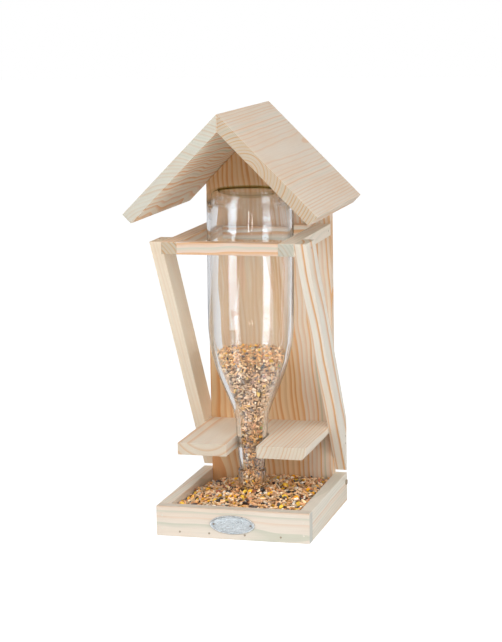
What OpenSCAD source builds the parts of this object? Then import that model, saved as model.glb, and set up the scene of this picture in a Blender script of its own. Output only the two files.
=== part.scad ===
// Bird feeder for a wine bottle: a softwood stand that holds an upturned bottle over a seed tray.
// Millimetres. X runs to the right seen from the front, Y to the back, Z up from the ground.
// The origin is on the ground, in the middle of the space that the feeder takes up.

/* [Timber] */
// Thickness of the planed boards
board_t = 11.6; // [9:0.2:14]
// Thickness of the thinner boards, used for the back and the tray floor
thin_t = 9.6; // [7:0.2:12]
// Width of the boards sawn for the tray rails and the struts
rail_h = 29; // [24:1:36]

/* [Tray] */
// Width of the tray
tray_w = 150; // [142:1:170]
// Depth of the tray, to the back face of the stand
tray_d = 160; // [150:1:180]

/* [Roof] */
// How far the bottle can be lifted before its heel meets the roof
lift_room = 25.4; // [20:0.2:40]
// Length of each roof board down its slope, on the outer face
roof_slope = 130; // [115:1:150]
// How far the roof stands forward of the tray
roof_front = 24; // [10:1:40]
// Gap between the sloping top of the back board and the roof
roof_gap = 0.3; // [0.1:0.1:0.6]

/* [Collar] */
// Height of the collar's top face
collar_top = 282; // [270:1:290]
// Width of the bars used for the sides and the back of the collar
bar_w = 14.8; // [10:0.2:16]
// How far the collar's front stands behind the tray's front
collar_front = 1; // [0:0.5:8]
// Gap between the foot of a strut and the tray rail under it
strut_foot_gap = 2; // [1:0.5:6]

/* [Shelf] */
// Height of the neck shelf's underside
shelf_z = 71; // [66:1:76]
// How far the shelf's front edge stands behind the tray's front
shelf_front = 35.5; // [30:0.5:44]
// How far behind the bottle's axis the slot's round end has its centre
slot_play = 7; // [2:0.5:12]
// Width of the bevel along the shelf's lower right edge
shelf_bevel_w = 3.6; // [1:0.2:6]
// Height of the same bevel
shelf_bevel_h = 5; // [1:0.2:8]

/* [Bottle] */
// Distance from the tray's front to the bottle's axis
bottle_y = 75; // [70:1:80]
// Height of the bottle's mouth above the ground
mouth_z = 31.5; // [31.5:0.5:34]
// Length of the bottle
bottle_h = 293; // [288:1:298]
// Radius of the bottle's body
body_r = 41.5; // [40:0.5:43]
// Thickness of the glass in the body, the shoulder and the neck
glass_t = 4.2; // [3.4:0.1:4.6]
// Thickness of the glass in the base
base_t = 3; // [2.5:0.5:5]
// Radius of the bore in the bottle's finish
bore_r = 9.2; // [8.6:0.1:9.6]
// Radius of the flat band round the mouth
band_r = 13.6; // [13:0.1:14.4]
// Height of that band
band_h = 19.5; // [14:0.5:22]
// Radius of the neck where it leaves the band
neck_r_low = 12.1; // [11.6:0.1:12.8]
// Radius of the neck where it meets the shoulder
neck_r_high = 15.5; // [15:0.1:16]
// Distance from the mouth to where the neck meets the shoulder
neck_len = 58.5; // [56:0.5:61]
// Distance from the mouth to where the shoulder meets the body
shoulder_len = 168.5; // [165:0.5:172]
// Radius of the hollow curve between the neck and the shoulder
flare_r = 70; // [50:1:90]
// Length of the straight stretch between the hollow and the round curve of the shoulder
shoulder_straight = 23.7; // [15:0.1:35]
// Radius of the heel round the base
heel_r = 10; // [6:0.5:10]
// Width of the ring that the bottle stands on
base_ring = 1; // [0.6:0.2:3]
// Depth of the hollow inside that ring
punt_depth = 7; // [5:1:20]
// Angle by which the bottle leans to the right in the collar
bottle_lean = 0.6; // [0:0.1:0.8]

/* [Seed] */
// Height of the seed in the bottle above the ground
bottle_seed_z = 168; // [120:1:200]
// Depth of the seed in the tray along the front rail
seed_front_depth = 18.2; // [14:0.2:18.4]
// Depth of the seed in the tray round the bottle's mouth
seed_mouth_depth = 20.6; // [17:0.2:20.8]
// Depth of the seed in the tray along the back board
seed_back_depth = 14.6; // [10:0.2:18]

/* [Plaque] */
// Width of the oval plaque on the front rail
plaque_w = 44; // [34:1:50]
// Height of the plaque
plaque_h = 18; // [14:1:20]
// Thickness of the plaque's sheet
plaque_t = 0.8; // [0.5:0.1:1.2]
// Height of the plaque's raised rim over its sheet
plaque_rim = 0.5; // [0.3:0.1:0.8]
// Distance between the plaque's two nails
plaque_nail_gap = 36; // [28:0.5:37]

/* [Fasteners] */
// Shank diameter of the brads
brad_d = 1.2; // [1:0.1:1.5]
// Head diameter of the brads
brad_head_d = 2; // [1.8:0.1:2.6]
// Length of the brads
brad_len = 25; // [22:1:28]
// Shank diameter of the screws
screw_d = 3; // [2.5:0.1:3.5]
// Head diameter of the screws
screw_head_d = 5.4; // [5:0.1:6.2]
// Length of the screws
screw_len = 30; // [24:1:34]

/* [Clearances] */
// Clearance round each fastener in its hole
hole_fit = 0.05; // [0.02:0.01:0.1]
// Clearance between the bottle and the shelf that carries it
seat_fit = 0.3; // [0.2:0.05:0.5]
// Clearance between loose seed and what holds it
seed_fit = 0.3; // [0.2:0.05:0.5]

/* [Hidden] */
$fn = 48;

// Places worked out from the sizes above
middle_y = (tray_d - roof_front)/2;
half_w = tray_w/2;
inner_w = half_w - board_t;
back_front = tray_d - thin_t;
board_mid_y = tray_d - thin_t/2;
base_z = mouth_z + bottle_h;
roof_drop = board_t*sqrt(2);
// The roof slopes at 45 degrees, and clears the round heel of the lifted bottle
roof_inner_z = base_z + lift_room + body_r + (sqrt(2) - 2)*heel_r;
ridge_z = roof_inner_z + roof_drop;
roof_edge = roof_slope/sqrt(2);
roof_edge_in = board_t/sqrt(2);
collar_low = collar_top - board_t;
collar_mid_z = collar_top - board_t/2;
back_bar_front = back_front - board_t;
strut_foot = rail_h + strut_foot_gap;
strut_run = tray_d - collar_front;
strut_rise = collar_top - strut_foot;
strut_len = sqrt(strut_run*strut_run + strut_rise*strut_rise);
strut_top_w = rail_h*strut_len/strut_rise;
strut_back_h = rail_h*strut_len/strut_run;
shelf_top = shelf_z + board_t;
neck_z = mouth_z + neck_len;
shoulder_z = mouth_z + shoulder_len;
band_z = mouth_z + band_h;
floor_top = thin_t;
plaque_z = rail_h/2;
// Sunk depth of the brad heads, and the height of their heads
brad_head_t = 0.6;
// Height of the screw heads
screw_head_t = 1.6;
// Height of a screw head that is left standing on the tray rail
proud_head_t = 1.2;
// Number of straight steps in each curve of the bottle's outline
curve_steps = 10;

// Radius of the neck's outside at a height, between the band and the shoulder
function neck_radius(z) =
    neck_r_low + (neck_r_high - neck_r_low)*(z - band_z)/(neck_z - band_z);
slot_r = neck_radius(shelf_top) + seat_fit;
slot_y = bottle_y + slot_play;

// Angle from upright of the straight stretch that touches both curves of the shoulder
shoulder_height = shoulder_z - neck_z;
shoulder_angle = 2*atan((body_r - neck_r_high)/(shoulder_height + shoulder_straight));
// Radius of the round curve that is left for the shoulder
shoulder_r = (shoulder_height - shoulder_straight*cos(shoulder_angle))/sin(shoulder_angle) - flare_r;

// Points of the neck and shoulder, from the neck up, set in by a wall's thickness
function flare_points(inset) = [
    for (i = [0:curve_steps])
        let (a = shoulder_angle*i/curve_steps, r = flare_r + inset)
            [neck_r_high + flare_r - r*cos(a), neck_z + r*sin(a)]
];
function shoulder_points(inset) = [
    for (i = [curve_steps:-1:0])
        let (a = shoulder_angle*i/curve_steps, r = shoulder_r - inset)
            [body_r - shoulder_r + r*cos(a), shoulder_z - r*sin(a)]
];
// Quarter round of a heel whose outer edge is at [r, z]
function heel_points(r, z, rad) = [
    for (i = [0:6])
        let (a = 90*i/6) [r - rad + rad*cos(a), z - rad + rad*sin(a)]
];
// The hollow of the base is part of a ball
punt_r = body_r - heel_r - base_ring;
punt_ball_r = (punt_r*punt_r + punt_depth*punt_depth)/(2*punt_depth);
punt_ball_z = base_z - punt_depth + punt_ball_r;
function ball_points(r, reach) = [
    for (i = [curve_steps:-1:0])
        let (a = asin(reach/r)*i/curve_steps) [r*sin(a), punt_ball_z - r*cos(a)]
];
inner_r = body_r - glass_t;
inner_heel_r = max(heel_r - glass_t, 2);
inner_ball_r = punt_ball_r + base_t;
inner_reach = inner_r - inner_heel_r;
inner_base_z = punt_ball_z - sqrt(inner_ball_r*inner_ball_r - inner_reach*inner_reach);

// Outline of the glass from the mouth to the base, and of its hollow
bottle_outline = concat(
    [[0, mouth_z], [band_r - 0.8, mouth_z], [band_r, mouth_z + 0.8]],
    [[band_r, band_z - 0.8], [band_r - 0.8, band_z], [neck_r_low, band_z]],
    flare_points(0), shoulder_points(0), heel_points(body_r, base_z, heel_r),
    ball_points(punt_ball_r, punt_r)
);
bore_outline = concat(
    [[0, mouth_z - 1], [bore_r, mouth_z - 1], [bore_r, band_z]],
    flare_points(glass_t), shoulder_points(glass_t), heel_points(inner_r, inner_base_z, inner_heel_r),
    ball_points(inner_ball_r, inner_reach)
);
seed_outline = concat(
    [[0, mouth_z + 0.8], [bore_r - seed_fit, mouth_z + 0.8], [bore_r - seed_fit, band_z]],
    flare_points(glass_t + seed_fit), shoulder_points(glass_t + seed_fit),
    [[inner_r - seed_fit, inner_base_z - heel_r], [0, inner_base_z - heel_r]]
);

// Moves what is measured from the tray's front edge to its place round the origin
module placed() {
    translate([0, -middle_y, 0]) children();
}

// Stands the bottle or its seed over the tray, leaning about the middle of the shelf's slot
module upturned() {
    translate([0, bottle_y, shelf_z]) rotate([0, bottle_lean, 0]) translate([0, 0, -shelf_z]) children();
}

// A board from its near lower left corner to its far upper right one
module board(low, high) {
    translate(low) cube(high - low);
}

// A shape drawn across the front, pushed back from y0 to y1
module frontal(y0, y1) {
    translate([0, y1, 0]) rotate([90, 0, 0]) linear_extrude(y1 - y0) children();
}

// A shape drawn on a side view, Y to the right and Z up, with a thickness from x0 to x1
module sideways(x0, x1) {
    translate([x0, 0, 0]) rotate([90, 0, 90]) linear_extrude(x1 - x0) children();
}

// A nail with its head flush at the origin, driven along +Z
module brad(extra = 0) {
    translate([0, 0, -extra]) {
        cylinder(h = brad_len + 2*extra, d = brad_d + 2*extra);
        cylinder(h = brad_head_t + 2*extra, d = brad_head_d + 2*extra);
    }
}

// A screw with its head flush at the origin, driven along +Z
module screw(extra = 0, long = screw_len) {
    translate([0, 0, -extra]) {
        cylinder(h = long + 2*extra, d = screw_d + 2*extra);
        cylinder(h = screw_head_t + 2*extra, d = screw_head_d + 2*extra);
    }
}

// Directions in which fasteners are driven from the origin
module to_back() {
    rotate([-90, 0, 0]) children();
}
module to_front() {
    rotate([90, 0, 0]) children();
}
// side is 1 on the right of the feeder and -1 on its left
module from_side(side) {
    rotate([0, -90*side, 0]) children();
}

// Places of the fasteners, each with the extra that turns it into its hole
corner_brad_z = [7.5, 20];
module corner_brad_set(extra = 0) {
    for (side = [-1, 1], z = corner_brad_z)
        translate([side*(half_w - board_t/2), 0, z]) to_back() brad(extra);
}

floor_brad_x = [-52, -23, 12, 47];
module floor_brad_set(extra = 0) {
    for (x = floor_brad_x) {
        translate([x, 0, floor_top/2]) to_back() brad(extra);
        translate([x, tray_d, floor_top/2]) to_front() brad(extra);
    }
}

back_screw_z = 20;
module back_screw_set(extra = 0) {
    for (side = [-1, 1])
        translate([side*(half_w + proud_head_t), board_mid_y, back_screw_z])
            from_side(side) screw(extra);
}

strut_top_brad_y = 21;
module strut_top_brad_set(extra = 0) {
    for (side = [-1, 1])
        translate([side*half_w, collar_front + strut_top_brad_y, collar_mid_z])
            from_side(side) brad(extra);
}

strut_foot_brad_rise = [29, 36.5];
module strut_foot_brad_set(extra = 0) {
    for (side = [-1, 1], rise = strut_foot_brad_rise)
        translate([side*half_w, board_mid_y, strut_foot + rise]) from_side(side) brad(extra);
}

// Through the side bars of the collar, into the ends of its front bar and of its back bar
collar_brad_y = [collar_front + board_t/2, back_bar_front + 2];
module collar_brad_set(extra = 0) {
    for (side = [-1, 1], y = collar_brad_y)
        translate([side*inner_w, y, collar_mid_z]) from_side(side) brad(extra);
}

collar_screw_x = 30;
module collar_screw_set(extra = 0) {
    for (side = [-1, 1])
        translate([side*collar_screw_x, tray_d, collar_mid_z])
            to_front() screw(extra, thin_t + board_t - 3);
}

shelf_screw_x = 40;
module shelf_screw_set(extra = 0) {
    for (side = [-1, 1])
        translate([side*shelf_screw_x, tray_d, shelf_z + board_t/2])
            to_front() screw(extra);
}

// Across the slope of the roof, from the ridge to each nail
roof_brad_down = [30, 70];
module roof_brad_set(extra = 0) {
    for (side = [-1, 1], down = roof_brad_down)
        translate([side*down/sqrt(2), board_mid_y, ridge_z - down/sqrt(2)])
            rotate([0, 180 + 45*side, 0]) brad(extra);
}

plaque_nail_len = 8;
module plaque_nail_set(extra = 0) {
    for (side = [-1, 1])
        translate([side*plaque_nail_gap/2, -plaque_t - brad_head_t, plaque_z])
            to_back() {
                cylinder(h = plaque_nail_len + extra, d = brad_d + 2*extra);
                cylinder(h = brad_head_t, d = brad_head_d + 2*extra);
            }
}

// Tray
module tray_front_rail() {
    placed() color("wheat") difference() {
        board([-half_w, 0, 0], [half_w, board_t, rail_h]);
        corner_brad_set(hole_fit);
        floor_brad_set(hole_fit);
        plaque_nail_set(hole_fit);
    }
}

module tray_side_rail(side) {
    placed() color("wheat") difference() {
        translate([side > 0 ? inner_w : -half_w, board_t, 0])
            cube([board_t, tray_d - board_t, rail_h]);
        corner_brad_set(hole_fit);
        back_screw_set(hole_fit);
    }
}

module tray_left_rail() {
    tray_side_rail(-1);
}

module tray_right_rail() {
    tray_side_rail(1);
}

module tray_floor() {
    placed() color("burlywood") difference() {
        board([-inner_w, board_t, 0], [inner_w, back_front, floor_top]);
        floor_brad_set(hole_fit);
    }
}

// Back board, with a gable that follows the roof
gable_z = roof_inner_z - roof_gap*sqrt(2);
module back_board() {
    placed() color("navajowhite") difference() {
        frontal(back_front, tray_d) polygon([
            [-inner_w, 0], [inner_w, 0], [inner_w, gable_z - inner_w],
            [0, gable_z], [-inner_w, gable_z - inner_w]
        ]);
        floor_brad_set(hole_fit);
        back_screw_set(hole_fit);
        strut_foot_brad_set(hole_fit);
        collar_screw_set(hole_fit);
        shelf_screw_set(hole_fit);
        roof_brad_set(hole_fit);
    }
}

// Roof: two boards mitred at the ridge, with square-cut eaves
module roof_board(side) {
    difference() {
        frontal(-roof_front, tray_d) polygon([
            [0, ridge_z], [side*roof_edge, ridge_z - roof_edge],
            [side*(roof_edge - roof_edge_in), ridge_z - roof_edge - roof_edge_in],
            [0, roof_inner_z]
        ]);
        roof_brad_set(hole_fit);
    }
}

module roof_left() {
    placed() color("tan") roof_board(-1);
}

module roof_right() {
    placed() color("moccasin") roof_board(1);
}

// Collar: four bars round the bottle's body
module collar_front_bar() {
    placed() color("bisque") difference() {
        board([bar_w - inner_w, collar_front, collar_low],
            [inner_w - bar_w, collar_front + board_t, collar_top]);
        collar_brad_set(hole_fit);
    }
}

module collar_side_bar(side) {
    placed() color("antiquewhite") difference() {
        translate([side > 0 ? inner_w - bar_w : -inner_w, collar_front, collar_low])
            cube([bar_w, back_front - collar_front, board_t]);
        strut_top_brad_set(hole_fit);
        collar_brad_set(hole_fit);
    }
}

module collar_left_bar() {
    collar_side_bar(-1);
}

module collar_right_bar() {
    collar_side_bar(1);
}

module collar_back_bar() {
    placed() color("sandybrown") difference() {
        board([bar_w - inner_w, back_bar_front, collar_top - bar_w],
            [inner_w - bar_w, back_front, collar_top]);
        collar_brad_set(hole_fit);
        collar_screw_set(hole_fit);
    }
}

// Struts: from the collar's front down and back to the foot of the back board
module strut(side) {
    difference() {
        sideways(side > 0 ? inner_w : -half_w, side > 0 ? half_w : -inner_w) polygon([
            [collar_front, collar_top], [tray_d, strut_foot],
            [tray_d, strut_foot + strut_back_h], [collar_front + strut_top_w, collar_top]
        ]);
        strut_top_brad_set(hole_fit);
        strut_foot_brad_set(hole_fit);
    }
}

module strut_left() {
    placed() color("burlywood") strut(-1);
}

module strut_right() {
    placed() color("burlywood") strut(1);
}

// Shelf: its slot opens at the front and carries the bottle by its neck
module neck_shelf() {
    placed() color("peachpuff") difference() {
        board([-inner_w, shelf_front, shelf_z], [inner_w, back_front, shelf_top]);
        translate([0, slot_y, shelf_z - 1]) cylinder(h = board_t + 2, r = slot_r);
        board([-slot_r, shelf_front - 1, shelf_z - 1], [slot_r, slot_y, shelf_top + 1]);
        frontal(shelf_front - 1, back_front + 1) polygon([
            [inner_w - shelf_bevel_w, shelf_z], [inner_w + 1, shelf_z],
            [inner_w + 1, shelf_z + shelf_bevel_h], [inner_w, shelf_z + shelf_bevel_h]
        ]);
        shelf_screw_set(hole_fit);
    }
}

// Plaque: a plain oval of sheet metal with a raised rim, held by two nails
module oval(w, h) {
    polygon([for (i = [0:71]) [w/2*cos(5*i), h/2*sin(5*i)]]);
}

module plaque() {
    placed() color("lightsteelblue") difference() {
        union() {
            frontal(-plaque_t, 0) translate([0, plaque_z]) oval(plaque_w, plaque_h);
            frontal(-plaque_t - plaque_rim, -plaque_t) translate([0, plaque_z]) difference() {
                oval(plaque_w, plaque_h);
                oval(plaque_w - 3, plaque_h - 2.4);
            }
        }
        plaque_nail_set(hole_fit);
    }
}

module plaque_nails() {
    placed() color("gray") plaque_nail_set();
}

// Fasteners
module tray_corner_brads() {
    placed() color("silver") corner_brad_set();
}

module tray_floor_brads() {
    placed() color("silver") floor_brad_set();
}

module tray_back_screws() {
    placed() color("silver") back_screw_set();
}

module strut_top_brads() {
    placed() color("silver") strut_top_brad_set();
}

module strut_foot_brads() {
    placed() color("silver") strut_foot_brad_set();
}

module collar_brads() {
    placed() color("silver") collar_brad_set();
}

module collar_screws() {
    placed() color("silver") collar_screw_set();
}

module shelf_screws() {
    placed() color("silver") shelf_screw_set();
}

module roof_brads() {
    placed() color("silver") roof_brad_set();
}

// Bottle, upside down
module bottle() {
    placed() color("lightcyan", 0.5) upturned() difference() {
        rotate_extrude($fn = 96) polygon(bottle_outline);
        rotate_extrude($fn = 96) polygon(bore_outline);
    }
}

// Seed that fills the bottle's neck and part of its body
module bottle_seed() {
    placed() color("goldenrod") upturned() intersection() {
        rotate_extrude($fn = 96) polygon(seed_outline);
        translate([0, 0, mouth_z]) cylinder(h = bottle_seed_z - mouth_z, r = body_r);
    }
}

// Seed that has run out into the tray, highest round the mouth
module tray_seed() {
    front = board_t + seed_fit;
    back = back_front - seed_fit;
    low = floor_top + seed_fit;
    placed() color("darkgoldenrod") sideways(seed_fit - inner_w, inner_w - seed_fit) polygon([
        [front, low], [back, low], [back, floor_top + seed_back_depth],
        [bottle_y + 2*band_r, floor_top + seed_mouth_depth],
        [bottle_y - 2*band_r, floor_top + seed_mouth_depth],
        [front, floor_top + seed_front_depth]
    ]);
}

tray_front_rail();
tray_left_rail();
tray_right_rail();
tray_floor();
back_board();
roof_left();
roof_right();
collar_front_bar();
collar_left_bar();
collar_right_bar();
collar_back_bar();
strut_left();
strut_right();
neck_shelf();
plaque();
plaque_nails();
tray_corner_brads();
tray_floor_brads();
tray_back_screws();
strut_top_brads();
strut_foot_brads();
collar_brads();
collar_screws();
shelf_screws();
roof_brads();
bottle();
bottle_seed();
tray_seed();
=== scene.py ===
"""Dresses a bottle bird feeder: pine boards, glass bottle, mixed seed, plaque and fasteners."""

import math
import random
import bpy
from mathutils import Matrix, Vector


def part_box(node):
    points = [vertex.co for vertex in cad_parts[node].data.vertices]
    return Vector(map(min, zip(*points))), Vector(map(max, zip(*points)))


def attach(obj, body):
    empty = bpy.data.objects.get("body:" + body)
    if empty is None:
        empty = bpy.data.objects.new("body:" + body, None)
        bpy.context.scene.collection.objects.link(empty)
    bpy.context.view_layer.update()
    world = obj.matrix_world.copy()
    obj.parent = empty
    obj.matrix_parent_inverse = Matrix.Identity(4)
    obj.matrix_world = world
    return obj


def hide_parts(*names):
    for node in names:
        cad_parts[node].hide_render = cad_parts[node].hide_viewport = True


bl_info = {
    "name": "Bottle Bird Feeder",
    "version": (1, 0, 0),
    "blender": (4, 5, 0),
    "location": "3D View > Sidebar > Feeder",
    "description": "Makes the boards, bottle, seed, plaque and fasteners of a bottle bird feeder",
    "category": "Object",
}

from dataclasses import dataclass
from itertools import product

import bmesh
import bpy
import numpy as np
from bpy.props import FloatProperty, FloatVectorProperty, IntProperty, PointerProperty
from mathutils import Matrix, Vector, noise

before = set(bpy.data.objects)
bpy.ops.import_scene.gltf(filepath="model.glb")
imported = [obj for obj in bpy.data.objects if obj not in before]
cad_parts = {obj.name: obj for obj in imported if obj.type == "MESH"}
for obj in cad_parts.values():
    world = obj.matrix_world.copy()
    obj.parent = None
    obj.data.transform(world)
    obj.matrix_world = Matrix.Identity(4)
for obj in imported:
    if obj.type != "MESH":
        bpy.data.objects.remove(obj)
STAND, BOTTLE = "stand", "bottle_and_seed"
MM = 0.001


# Shader nodes

class Link:
    """An output socket. Arithmetic on it adds the nodes it needs."""

    def __init__(self, shade, socket):
        self.shade, self.socket = shade, socket

    @property
    def wide(self):
        return self.socket.type in ("VECTOR", "RGBA")

    def _combine(self, operation, first, second):
        """Adds a Math node, or a Vector Math node where a vector or a colour takes part."""
        if any(isinstance(x, Link) and x.wide for x in (first, second)):
            first, second = (
                x if isinstance(x, (Link, tuple)) else (x, x, x) for x in (first, second)
            )
            return self.shade.node("VectorMath", {"operation": operation}, {0: first, 1: second})
        return self.shade.node("Math", {"operation": operation}, {0: first, 1: second})

    def __add__(self, other):
        return self._combine("ADD", self, other)

    def __radd__(self, other):
        return self._combine("ADD", other, self)

    def __sub__(self, other):
        return self._combine("SUBTRACT", self, other)

    def __rsub__(self, other):
        return self._combine("SUBTRACT", other, self)

    def __mul__(self, other):
        return self._combine("MULTIPLY", self, other)

    def __rmul__(self, other):
        return self._combine("MULTIPLY", other, self)

    def __truediv__(self, other):
        return self._combine("DIVIDE", self, other)

    def __pow__(self, other):
        return self._combine("POWER", self, other)

    def maths(self, operation, *others):
        return self.shade.node("Math", {"operation": operation}, dict(enumerate((self, *others))))

    def dot(self, direction):
        values = {0: self, 1: tuple(direction)}
        return self.shade.node("VectorMath", {"operation": "DOT_PRODUCT"}, values, "Value")

    def step(self, low, high):
        """0 below low and 1 above high, smooth between them."""
        return self.shade.node(
            "MapRange", {"interpolation_type": "SMOOTHSTEP"},
            {"Value": self, "From Min": low, "From Max": high},
        )


class Shade:
    """The nodes of a new material, or of a tree that is given."""

    def __init__(self, name, tree=None):
        if tree is None:
            self.material = bpy.data.materials.new(name)
            self.material.use_nodes = True
            tree = self.material.node_tree
        self.tree = tree
        self.tree.nodes.clear()

    def node(self, kind, settings=None, values=None, out=0):
        """Adds a node: its settings first, then the values or links of its sockets."""
        made = self.tree.nodes.new("ShaderNode" + kind)
        for name, value in (settings or {}).items():
            if name == "stops":
                ramp = made.color_ramp
                while len(ramp.elements) < len(value):
                    ramp.elements.new(1.0)
                for element, (position, colour) in zip(ramp.elements, value):
                    element.position, element.color = position, (*colour, 1.0)
            else:
                setattr(made, name, value)
        for key, value in (values or {}).items():
            if isinstance(value, Link):
                self.tree.links.new(value.socket, made.inputs[key])
            else:
                made.inputs[key].default_value = value
        return Link(self, made.outputs[out])

    def mix(self, factor, first, second):
        """A colour from first, where the factor is 0, to second, where it is 1."""
        first, second = (
            (*x, 1.0) if isinstance(x, tuple) and len(x) == 3 else x for x in (first, second)
        )
        return self.node("Mix", {"data_type": "RGBA"}, {0: factor, 6: first, 7: second}, 2)

    def place(self):
        """Where the point is, in millimetres in the frame."""
        return self.node("TexCoord", out="Object") * (1 / MM)

    def join(self, x, y, z):
        return self.node("CombineXYZ", None, {0: x, 1: y, 2: z})

    def noise(self, at, scale=1.0, detail=2.0, rough=0.5, out="Fac"):
        values = {"Vector": at, "Scale": scale, "Detail": detail, "Roughness": rough}
        return self.node("TexNoise", None, values, out)

    def bump(self, height, distance, strength=1.0):
        values = {"Strength": strength, "Distance": distance, "Height": height}
        return self.node("Bump", None, values)

    def finish(self, values):
        """Ends the material in one principled shader with these values."""
        self.node_output(self.node("BsdfPrincipled", None, values))
        return self.material

    def node_output(self, surface, kind="OutputMaterial"):
        output = self.tree.nodes.new("ShaderNode" + kind)
        self.tree.links.new(surface.socket, output.inputs["Surface"])
        return output


# Meshes

def piece(name, mesh, body, node, material, smooth=False):
    """Puts a finished mesh in the scene, as a piece that stands for a CAD node."""
    made = bpy.data.objects.new(name, mesh)
    bpy.context.scene.collection.objects.link(made)
    mesh.materials.append(material)
    if smooth:
        mesh.polygons.foreach_set("use_smooth", [True] * len(mesh.polygons))
    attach(made, body)
    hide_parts(node)


def skin(rows):
    """Faces between closed rows of points, each row given by its points' numbers. A row of one
    point closes an end."""
    faces = []
    for low, high in zip(rows, rows[1:]):
        count = max(len(low), len(high))
        for j in range(count):
            k = (j + 1) % count
            if len(low) == 1:
                faces.append((low[0], high[k], high[j]))
            elif len(high) == 1:
                faces.append((low[j], low[k], high[0]))
            else:
                faces.append((low[j], low[k], high[k], high[j]))
    return faces


def spun(rings, segments, ripple=None):
    """Points and faces of a profile of (radius, height) turned about Z. Radius 0 is one point."""
    points, rows = [], []
    for i, (radius, height) in enumerate(rings):
        if radius < 1e-6:
            rows.append([len(points)])
            points.append((0.0, 0.0, height))
            continue
        rows.append(list(range(len(points), len(points) + segments)))
        for j in range(segments):
            turn = 2 * math.pi * j / segments
            r, z = (radius, height) if ripple is None else ripple(i, radius, height, turn)
            points.append((r * math.cos(turn), r * math.sin(turn), z))
    return points, skin(rows)


def solid(name, points, faces):
    """A mesh from points in millimetres."""
    mesh = bpy.data.meshes.new(name)
    mesh.from_pydata([tuple(float(c) * MM for c in p) for p in points], [], faces)
    mesh.update()
    return mesh


# Settings

class FeederStageSettings(bpy.types.PropertyGroup):
    """Camera, floor and lamps."""

    camera_place: FloatVectorProperty(
        name="Camera place", description="Where the camera stands", subtype="TRANSLATION",
        unit="LENGTH", default=(0.4996, -1.7877, 0.5234))
    camera_turn: FloatProperty(
        name="Camera turn", description="How far round to the right the camera stands",
        subtype="ANGLE", default=math.radians(15.518))
    camera_drop: FloatProperty(
        name="Camera drop", description="How far down the camera looks", subtype="ANGLE",
        default=math.radians(9.958))
    camera_roll: FloatProperty(
        name="Camera roll", description="Small lean of the camera", subtype="ANGLE",
        default=math.radians(-1.098))
    lens: FloatProperty(
        name="Lens", description="Focal length in millimetres", unit="CAMERA", default=110.23,
        min=20)
    fill: FloatProperty(
        name="Fill light", description="Level of the even light from all round", default=0.5)
    panel: FloatProperty(
        name="Panel light", description="Brightness of the two tall light panels", default=2.15)
    shine: FloatProperty(
        name="Panel shine", description="Brightness of the panels as the glass mirrors them",
        default=4.6)
    high: FloatProperty(
        name="High light", description="Brightness of the wide light high in front", default=3.5)
    floor_colour: FloatVectorProperty(
        name="Floor colour", description="Colour of the floor", subtype="COLOR", size=3,
        default=(0.9, 0.9, 0.9), min=0, max=1)


class FeederPineSettings(bpy.types.PropertyGroup):
    """Colours of the softwood and the easing of its edges."""

    early: FloatVectorProperty(
        name="Pale wood", description="Colour between the ring lines", subtype="COLOR", size=3,
        default=(0.79, 0.655, 0.52), min=0, max=1)
    blush: FloatVectorProperty(
        name="Warm patches", description="Colour of the warmer patches", subtype="COLOR", size=3,
        default=(0.78, 0.575, 0.41), min=0, max=1)
    heart: FloatVectorProperty(
        name="Heartwood", description="Colour of the wood near the pith", subtype="COLOR",
        size=3, default=(0.80, 0.55, 0.31), min=0, max=1)
    cream: FloatVectorProperty(
        name="Cream", description="Colour of the palest boards", subtype="COLOR", size=3,
        default=(0.84, 0.77, 0.66), min=0, max=1)
    late: FloatVectorProperty(
        name="Ring lines", description="Colour of the warm ring lines", subtype="COLOR", size=3,
        default=(0.74, 0.41, 0.19), min=0, max=1)
    cool: FloatVectorProperty(
        name="Cool ring lines", description="Colour of the grey-green ring lines",
        subtype="COLOR", size=3, default=(0.60, 0.58, 0.45), min=0, max=1)
    ease: FloatProperty(
        name="Edge easing", description="Width of the small round on the boards' edges",
        unit="LENGTH", default=0.0004, min=0, max=0.002)


class FeederBottleSettings(bpy.types.PropertyGroup):
    """Sizes and colour of the glass bottle."""

    tint: FloatVectorProperty(
        name="Glass tint", description="Colour that light takes through one side of the glass",
        subtype="COLOR", size=3, default=(0.992, 0.990, 0.988), min=0, max=1)
    thick_tint: FloatVectorProperty(
        name="Edge tint", description="Colour of glass that is looked at along its wall",
        subtype="COLOR", size=3, default=(0.42, 0.40, 0.18), min=0, max=1)
    depth: FloatProperty(
        name="Tint depth", description="How soon thick glass takes its colour", default=3.5)
    knurls: IntProperty(
        name="Knurls", description="Small ridges round the ring the bottle stands on",
        default=90, min=12)


class FeederSeedSettings(bpy.types.PropertyGroup):
    """How much seed there is, and how it lies."""

    bottle_level: FloatProperty(
        name="Level in the bottle", description="Height of the seed in the bottle",
        unit="LENGTH", default=0.168)
    bottle_grains: IntProperty(
        name="Tries in the bottle", description="Grains tried for the bottle", default=20000)
    tray_grains: IntProperty(
        name="Tries in the tray", description="Grains tried for the tray", default=18000)


class FeederPlaqueSettings(bpy.types.PropertyGroup):
    """Size of the oval plaque."""

    width: FloatProperty(
        name="Width", description="Width of the plaque", unit="LENGTH", default=0.044)
    height: FloatProperty(
        name="Height", description="Height of the plaque", unit="LENGTH", default=0.018)
    colour: FloatVectorProperty(
        name="Zinc", description="Colour of the galvanised sheet", subtype="COLOR", size=3,
        default=(0.57, 0.545, 0.515), min=0, max=1)


# Stage, in metres. Lamps stand round the feeder: azimuth 0 is in front of it, 90 to its right

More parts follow.
